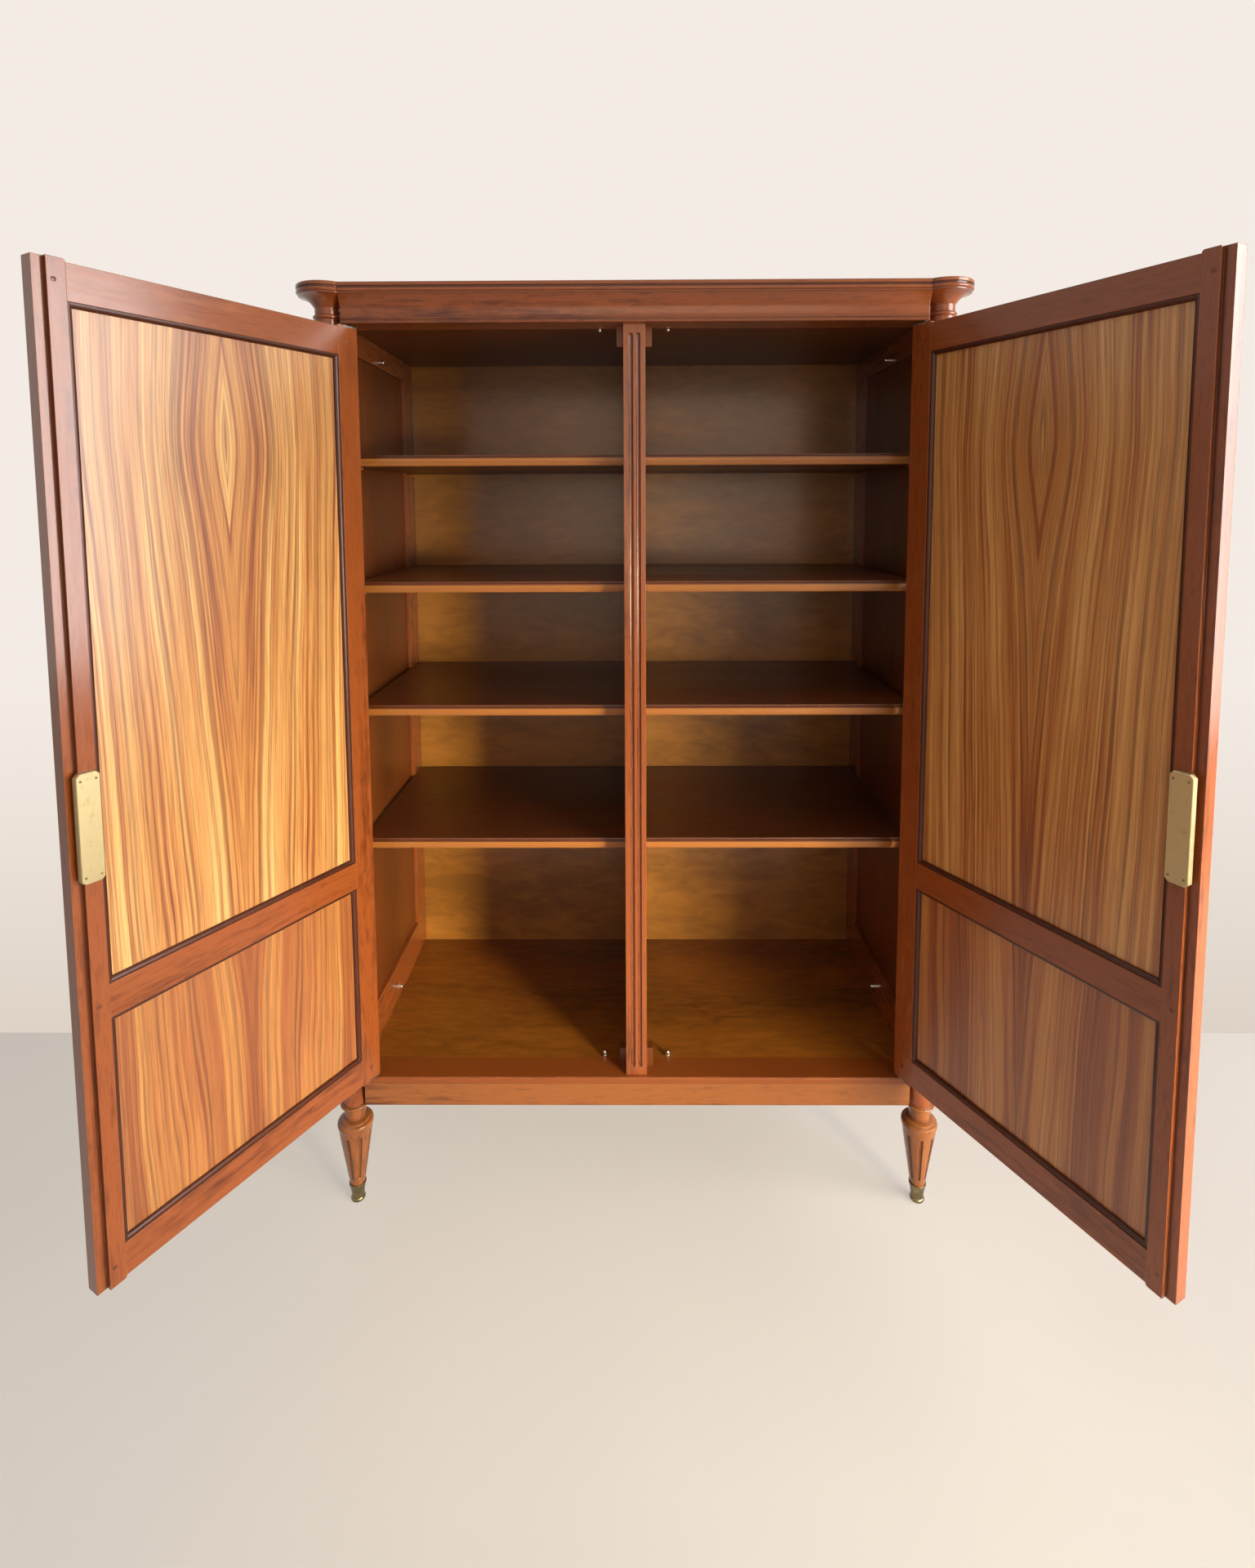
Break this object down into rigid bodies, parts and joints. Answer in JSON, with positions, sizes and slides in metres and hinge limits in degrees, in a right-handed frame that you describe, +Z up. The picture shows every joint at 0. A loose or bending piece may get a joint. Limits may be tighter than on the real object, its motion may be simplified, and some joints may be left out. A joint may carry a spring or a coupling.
{
  "type": "wardrobe",
  "caption": "Two-door shelved wardrobe with round front columns, turned fluted legs in brass feet, moulded cornice with round caps and pivot-hung panelled doors with sliding lock bolts.",
  "frame": {"origin": "on the ground, on the centre line, in the plane of the closed doors' inner faces", "axes": "+Z up, -Y towards the front where the doors open, +X to the viewer's right"},
  "size_m": [1.5097, 0.9314, 1.735],
  "materials": {
    "polished_frame_wood": "french polished",
    "figured_veneer": "french polished",
    "dark_bead": "dark polished",
    "shelf_wood": "satin",
    "back_plywood": "satin",
    "peg_wood": "plain",
    "brass_fittings": "aged",
    "steel_pivots": "worn"
  },
  "bodies": {
    "carcase": {"apron_back": "polished_frame_wood", "apron_front": "polished_frame_wood", "assembly_bolts": "brass_fittings", "back_panel": "back_plywood", "back_post_left": "polished_frame_wood", "back_post_right": "polished_frame_wood", "centre_post": "polished_frame_wood", "column_left": "polished_frame_wood", "column_right": "polished_frame_wood", "cornice_cap_left": "polished_frame_wood", "cornice_cap_right": "polished_frame_wood", "cornice_front": "polished_frame_wood", "cornice_side_left": "polished_frame_wood", "cornice_side_right": "polished_frame_wood", "floor_board": "shelf_wood", "leg_back_left": "polished_frame_wood", "leg_back_right": "polished_frame_wood", "leg_front_left": "polished_frame_wood", "leg_front_right": "polished_frame_wood", "partition": "shelf_wood", "post_blocks": "polished_frame_wood", "sabots": "brass_fittings", "shelf_1_left": "shelf_wood", "shelf_1_right": "shelf_wood", "shelf_2_left": "shelf_wood", "shelf_2_right": "shelf_wood", "shelf_3_left": "shelf_wood", "shelf_3_right": "shelf_wood", "shelf_4_left": "shelf_wood", "shelf_4_right": "shelf_wood", "shelf_pegs": "peg_wood", "side_bottom_rail_left": "polished_frame_wood", "side_bottom_rail_right": "polished_frame_wood", "side_panel_left": "polished_frame_wood", "side_panel_right": "polished_frame_wood", "side_top_rail_left": "polished_frame_wood", "side_top_rail_right": "polished_frame_wood", "top_panel": "shelf_wood"},
    "left_door": {"left_door_bottom_rail": "polished_frame_wood", "left_door_hinge_stile": "polished_frame_wood", "left_door_lock_case": "brass_fittings", "left_door_lock_stile": "polished_frame_wood", "left_door_lower_panel": "figured_veneer", "left_door_middle_rail": "polished_frame_wood", "left_door_panel_beads": "dark_bead", "left_door_pivots": "steel_pivots", "left_door_top_rail": "polished_frame_wood", "left_door_upper_panel": "figured_veneer"},
    "right_door": {"right_door_bottom_rail": "polished_frame_wood", "right_door_hinge_stile": "polished_frame_wood", "right_door_lock_case": "brass_fittings", "right_door_lock_stile": "polished_frame_wood", "right_door_lower_panel": "figured_veneer", "right_door_middle_rail": "polished_frame_wood", "right_door_panel_beads": "dark_bead", "right_door_pivots": "steel_pivots", "right_door_top_rail": "polished_frame_wood", "right_door_upper_panel": "figured_veneer"},
    "left_lock_bolt": {"left_door_lock_bolt": "brass_fittings"},
    "right_lock_bolt": {"right_door_lock_bolt": "brass_fittings"}
  },
  "joints": [
    {"name": "left_door_hinge", "type": "hinge", "parent": "carcase", "child": "left_door", "pos_m": [-0.514, -0.025, 0.264], "axis": [0, 0, -1], "range_deg": [-119.8, 10]},
    {"name": "right_door_hinge", "type": "hinge", "parent": "carcase", "child": "right_door", "pos_m": [0.514, -0.025, 0.264], "axis": [0, 0, 1], "range_deg": [-117.6, 12]},
    {"name": "left_bolt_slide", "type": "slide", "parent": "left_door", "child": "left_lock_bolt", "axis": [-0.497, -0.8678, 0], "range_m": [0, 0.014]},
    {"name": "right_bolt_slide", "type": "slide", "parent": "right_door", "child": "right_lock_bolt", "axis": [0.4633, -0.8862, 0], "range_m": [0, 0.014]}
  ]
}
